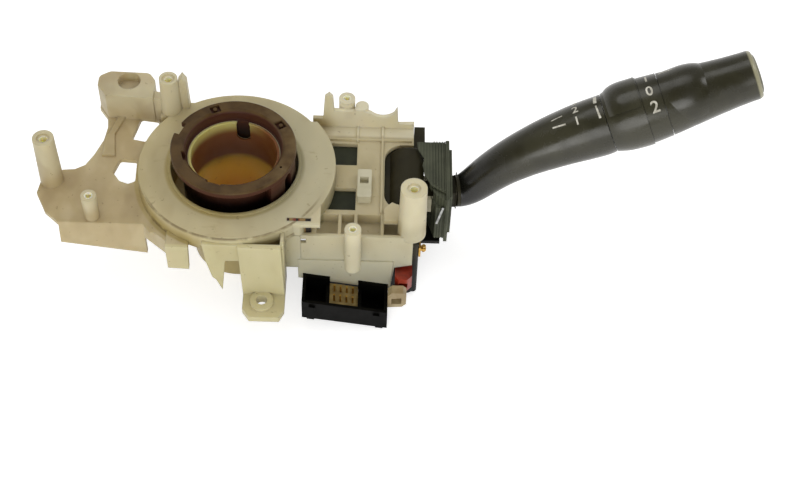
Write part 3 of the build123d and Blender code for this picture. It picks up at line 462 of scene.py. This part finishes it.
def gloss_black(name, rough):
    """Glossy olive-black plastic: near black at the lever's root from painted shade and painted dark
    reflection, and pale on the rim of its end face.
    """
    made = Finish(name, roughness=rough, specular=0.42)
    run = 0.0
    for value, start, way in zip(made.axes(), HEAD, ALONG):
        run = made.add(run, made.both(made.calc("SUBTRACT", value, start), way))
    base = made.mix(made.cloud(50), srgb(48, 46, 33), srgb(62, 60, 45))
    # painted shade and painted dark reflection: near black towards the lever's root
    base = made.mix(made.edge(run, -36, -68), base, srgb(14, 13, 10))
    made.colour(made.mix(made.edge(run, 60.6, 61.4), base, srgb(158, 154, 126)))
    made.polish(150, low=rough - 0.07, high=rough + 0.08)
    made.bump(made.noise(2000, detail=2.0), depth=0.01, strength=0.35)
    return made.mat


def link_bands():
    """A varnished link strip: dark, red-brown and gold bands along X."""
    made = Finish("link_bands", roughness=0.4, specular=0.4)
    red = made.span(made.noise(700, detail=1.0, roughness=0.5, stretch=(1, 0.01, 0.01)), 0.42, 0.48)
    gold = made.span(made.noise(520, detail=1.0, roughness=0.5, stretch=(1, 0.02, 0.02)), 0.52, 0.56)
    base = made.mix(red, srgb(34, 16, 10), srgb(128, 60, 44))
    base = made.mix(gold, base, srgb(150, 122, 74))
    made.colour(made.mix(made.edge(made.axes()[0], 30.5, 31.2), base, srgb(16, 8, 6)))
    return made.mat


finish = {
    "nylon": nylon(),
    "cam": cam_plastic(),
    "switch": switch_plastic(),
    "shield": grooved_plastic(),
    "stalk": gloss_black("stalk_black", 0.24),
    "knob": gloss_black("knob_black", 0.26),
    "link": link_bands(),
    "cap": plastic("cap_grey", (128, 126, 104), (104, 102, 82), 0.5, scale=90, specular=0.3),
    "connector": plastic("connector_black", (9, 8, 6), (4, 4, 3), 0.45, scale=90, specular=0.06),
    "holder": plastic("holder_beige", (168, 146, 94), (134, 114, 70), 0.45, scale=200, specular=0.25),
    "lock": plastic("lock_beige", (176, 160, 122), (150, 130, 92), 0.4, scale=150),
    "clip": plastic("clip_red", (150, 46, 24), (104, 26, 12), 0.4, scale=200),
    "white": plastic("white_acetal", (206, 200, 172), (190, 184, 154), 0.42, scale=90),
    "board": plastic("board_brown", (104, 82, 44), (84, 64, 34), 0.55, scale=120),
    "brass": metal("brass", (214, 176, 96), (170, 128, 60), 0.35),
    "steel": metal("steel", (190, 190, 188), (140, 140, 138), 0.35),
}

# the CAD nodes that each finish goes on
DRESS = {
    "nylon": ["column_bracket"],
    "cam": ["cancel_cam"],
    "switch": ["switch_base", "switch_cover", "lever_arm"],
    "shield": ["lever_shield"],
    "stalk": ["stalk_tube", "marking_sleeve", "interval_ring"],
    "knob": ["end_knob"],
    "cap": ["knob_cap"],
    "connector": ["connector_shroud"],
    "holder": ["pin_holder"],
    "lock": ["terminal_lock"],
    "clip": ["harness_clip"],
    "white": ["module_clip", "lever_carrier", "detent_track", "wiper_slider", "washer_plunger"],
    "board": ["contact_board", "contact_discs"],
    "link": ["link_strip"],
    "brass": ["contact_tracks", "connector_pins", "ground_terminal", "ring_wiper", "knob_wiper",
              "slider_contacts"],
    "steel": ["cover_screws", "module_screws", "washer_spring", "tilt_pin", "detent_plunger", "detent_spring",
              "return_leaf", "head_spindle", "head_detent_balls", "head_detent_springs", "spindle_clip"],
}
for key, names in DRESS.items():
    for name in names:
        for slot in nodes[name].material_slots:
            slot.material = finish[key]


# ---------------------------------------------------------------- small added pieces
# the shield's sheet beside the drum as a plan outline, and the left edges of the low ribs on it; their
# front ends slant, and stay inside the sheet's slanted edge
SHEET = [(76.6, 19.4), (76.9, 15.4), (79.6, 10.0), (78.9, 6.4), (79.8, 0.8), (82.6, -5.0), (88.8, -9.0),
         (88.8, 19.4)]
SHEET_HEIGHTS = (-5.2, -4.6)
RIB_STARTS = (83.6, 84.8, 86.0, 87.2, 88.2)
RIB_WIDTH = 0.55
RIB_HEIGHTS = (-6.2, -4.2)
RIB_BACK = 19.6
RIB_CORNER = (83.4, -4.0)
RIB_SLANT = -0.9
# the web between the ear's wall and the tray's front wall
WEB_X = (21.6, 28.9)
WEB_Y = (-31.4, -30.3)
WEB_HEIGHTS = (-29.0, -8.0)
# the seals in the seams of the head: where each starts and ends along its axis, and its two radii
SEALS = [(15.85, 15.95, 12.3, 13.6), (24.08, 24.22, 11.2, 13.0)]
SEAL_STEPS = 96


def prism(points, low, high):
    """A straight prism over a plan outline, in millimetres."""
    count = len(points)
    corners = [Vector((x, y, z)) * MM for z in (low, high) for x, y in points]
    faces = [tuple(reversed(range(count))), tuple(range(count, 2 * count))]
    faces += [(n, (n + 1) % count, count + (n + 1) % count, count + n) for n in range(count)]
    return corners, faces


def block(left, right, front, back, low, high):
    """An upright block, in millimetres."""
    return prism([(left, front), (right, front), (right, back), (left, back)], low, high)


def rib(start):
    """One low rib of the shield's sheet."""
    front = RIB_CORNER[1] + RIB_SLANT * (start - RIB_CORNER[0])
    return block(start, start + RIB_WIDTH, front, RIB_BACK, *RIB_HEIGHTS)


def around(run, angle, radius):
    """A place by its run along the head's axis, its angle round it and its radius, in millimetres."""
    return HEAD + (ALONG * run + (UPPER * math.cos(angle) + SIDE * math.sin(angle)) * radius) * MM


def washer(run_0, run_1, inner, outer):
    """A flat ring on the head's axis, in millimetres."""
    angles = [2 * math.pi * n / SEAL_STEPS for n in range(SEAL_STEPS)]
    profile = ((run_0, inner), (run_0, outer), (run_1, outer), (run_1, inner))
    corners = [around(run, angle, radius) for run, radius in profile for angle in angles]
    faces = []
    for side in range(len(profile)):
        a = side * SEAL_STEPS
        b = (side + 1) % len(profile) * SEAL_STEPS
        for n in range(SEAL_STEPS):
            after = (n + 1) % SEAL_STEPS
            faces.append((a + n, b + n, b + after, a + after))
    return corners, faces


def add_piece(name, body, material, shapes):
    """Joins shapes, each one corners and faces, to a piece that rides on a body."""
    corners, faces = [], []
    for points, polygons in shapes:
        first = len(corners)
        corners += points
        faces += [tuple(first + i for i in polygon) for polygon in polygons]
    mesh = bpy.data.meshes.new(name)
    mesh.from_pydata(corners, [], faces)
    mesh.materials.append(material)
    made = bpy.data.objects.new(name, mesh)
    bpy.context.collection.objects.link(made)
    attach(made, body)


add_piece("shield_ribs", "carrier", finish["shield"],
          [prism(SHEET, *SHEET_HEIGHTS)] + [rib(start) for start in RIB_STARTS])
add_piece("tray_web", "bracket", finish["nylon"], [block(*WEB_X, *WEB_Y, *WEB_HEIGHTS)])
add_piece("head_seals", "lever", finish["stalk"], [washer(*seal) for seal in SEALS])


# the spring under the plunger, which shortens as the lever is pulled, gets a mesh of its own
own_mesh(nodes["washer_spring"])


# ---------------------------------------------------------------- printed marks
# how high a mark lies on its surface, how far out its place is looked for, and about how long its edges are
MARK_LIFT = 0.04
MARK_SEARCH = 40
MARK_STEP = 0.6
# the radius that turns a mark's width into an angle
STALK_RADIUS = 12.5
SLEEVE_RADIUS = 13.6
KNOB_RADIUS = 13.0
# the built-in face: its height as a part of its size, how much it is thickened, and how finely it is cut
FACE_HEIGHT = 0.7
FACE_BOLD = 0.022
FACE_CURVE = 4
CUT_ROUNDS = 4


def surface(name):
    """The faces of a CAD node, to print on."""
    mesh = nodes[name].data
    corners = [v.co.copy() for v in mesh.vertices]
    return BVHTree.FromPolygons(corners, [list(polygon.vertices) for polygon in mesh.polygons])


def wrapped(skin, run, angle):
    """A place just over a surface, by its run along the head's axis and its angle round it."""
    start = around(run, angle, MARK_SEARCH)
    out = UPPER * math.cos(angle) + SIDE * math.sin(angle)
    place, normal, _, _ = skin.ray_cast(start, -out, MARK_SEARCH * MM)
    return place + normal * MARK_LIFT * MM * (1 if normal.dot(out) > 0 else -1)


def print_mark(name, body, skin, shapes, material):
    """Lays flat shapes, drawn in run and angle, on a surface as one thin piece."""
    laid = [([wrapped(skin, run, angle) for run, angle in points], polygons) for points, polygons in shapes]
    add_piece(name, body, material, laid)


def bar(run, angle, length, width, tilt=0.0, radius=STALK_RADIUS, end_width=None):
    """A straight printed bar: lengths in millimetres, its angle round the head and its tilt in degrees."""
    end_width = width if end_width is None else end_width
    steps = max(2, int(length / MARK_STEP))
    lean = math.radians(tilt)
    points = []
    for n in range(steps + 1):
        part = n / steps
        along = (part - 0.5) * length
        half = (width + (end_width - width) * part) / 2
        for side in (-half, half):
            points.append((run + along * math.cos(lean) - side * math.sin(lean),
                           math.radians(angle) + (along * math.sin(lean) + side * math.cos(lean)) / radius))
    return points, [(2 * n, 2 * n + 2, 2 * n + 3, 2 * n + 1) for n in range(steps)]


def numeral_mesh(text, height):
    """A flat mesh of a plain numeral in the built-in face, cut fine enough to bend. Height in metres."""
    curve = bpy.data.curves.new("numeral", "FONT")
    curve.body = text
    curve.size = height / FACE_HEIGHT
    curve.align_x = "CENTER"
    curve.offset = height * FACE_BOLD
    curve.resolution_u = FACE_CURVE
    holder = bpy.data.objects.new("numeral", curve)
    bpy.context.collection.objects.link(holder)
    bpy.context.view_layer.update()
    flat = bpy.data.meshes.new_from_object(holder)
    bpy.data.objects.remove(holder)
    bpy.data.curves.remove(curve)
    cut = bmesh.new()
    cut.from_mesh(flat)
    for _ in range(CUT_ROUNDS):
        bmesh.ops.triangulate(cut, faces=cut.faces[:])
        long_edges = [e for e in cut.edges if e.calc_length() > MARK_STEP * MM]
        bmesh.ops.subdivide_edges(cut, edges=long_edges, cuts=1)
    bmesh.ops.triangulate(cut, faces=cut.faces[:])
    cut.to_mesh(flat)
    cut.free()
    return flat


def numeral(text, run, angle, height, radius=STALK_RADIUS):
    """A plain printed numeral: its middle, its angle round the head in degrees, its height in millimetres."""
    flat = numeral_mesh(text, height * MM)
    points = []
    for vertex in flat.vertices:
        x = vertex.co.x / MM
        y = vertex.co.y / MM - height / 2
        points.append((run + x, math.radians(angle) + y / radius))
    polygons = [tuple(p.vertices) for p in flat.polygons]
    bpy.data.meshes.remove(flat)
    return points, polygons


def add_marks():
    ink = plastic("mark_white", (214, 211, 198), (176, 172, 158), 0.5, scale=500, specular=0.3)
    print_mark("stalk_marks", "lever", surface("stalk_tube"), [
        numeral("1", -11.2, -16, 3.8),
        numeral("2", -10.9, 11, 3.8),
        numeral("3", -10.6, 38, 3.6),
        bar(-18.8, -14, 5.6, 0.8, -6),
        bar(-19.0, 7, 5.0, 0.5, 4),
        bar(-2.1, 19, 4.8, 1.4, 84),
        bar(-2.1, -13, 6.2, 0.9, 94, end_width=0.6),
    ], ink)
    print_mark("sleeve_marks", "lever", surface("marking_sleeve"), [
        numeral("0", 19.9, -9, 4.2, SLEEVE_RADIUS),
        numeral("1", 19.9, 22, 4.0, SLEEVE_RADIUS),
        numeral("2", 20.2, -39, 4.8, SLEEVE_RADIUS),
    ], ink)
    print_mark("knob_mark", "end_knob", surface("end_knob"), [
        bar(28.2, 29, 6.0, 0.7, radius=KNOB_RADIUS),
    ], ink)


add_marks()


# ---------------------------------------------------------------- floor
FLOOR_HALF = 4.0
FLOOR_Z = cad_box[0][2] - 0.2 * MM
FLOOR_TONES = ((0.80, 0.80, 0.80, 1), (0.84, 0.84, 0.84, 1))
FLOOR_GLOW = 0.62


def floor_white():
    """A white floor. Its glow shows only to the camera, in glosses and through glass."""
    made = Finish("floor_white", roughness=0.8, specular=0.2)
    made.colour(made.mix(made.noise(3), *FLOOR_TONES))
    glow = made.node("ShaderNodeEmission")
    feed(made.tree, FLOOR_GLOW, glow.inputs["Strength"])
    lit = made.node("ShaderNodeAddShader")
    feed(made.tree, made.shader.outputs[0], lit.inputs[0])
    feed(made.tree, glow.outputs[0], lit.inputs[1])
    mix = made.node("ShaderNodeMixShader")
    feed(made.tree, seen_or_reflected(made.tree), mix.inputs[0])
    feed(made.tree, made.shader.outputs[0], mix.inputs[1])
    feed(made.tree, lit.outputs[0], mix.inputs[2])
    feed(made.tree, mix.outputs[0], made.tree.nodes["Material Output"].inputs["Surface"])
    return made.mat


def add_floor():
    mesh = bpy.data.meshes.new("floor")
    corners = [(x * FLOOR_HALF, y * FLOOR_HALF, 0) for x, y in ((-1, -1), (1, -1), (1, 1), (-1, 1))]
    mesh.from_pydata(corners, [], [(0, 1, 2, 3)])
    mesh.materials.append(floor_white())
    floor = bpy.data.objects.new("floor", mesh)
    floor.location = (0, 0, FLOOR_Z)
    bpy.context.collection.objects.link(floor)


add_floor()
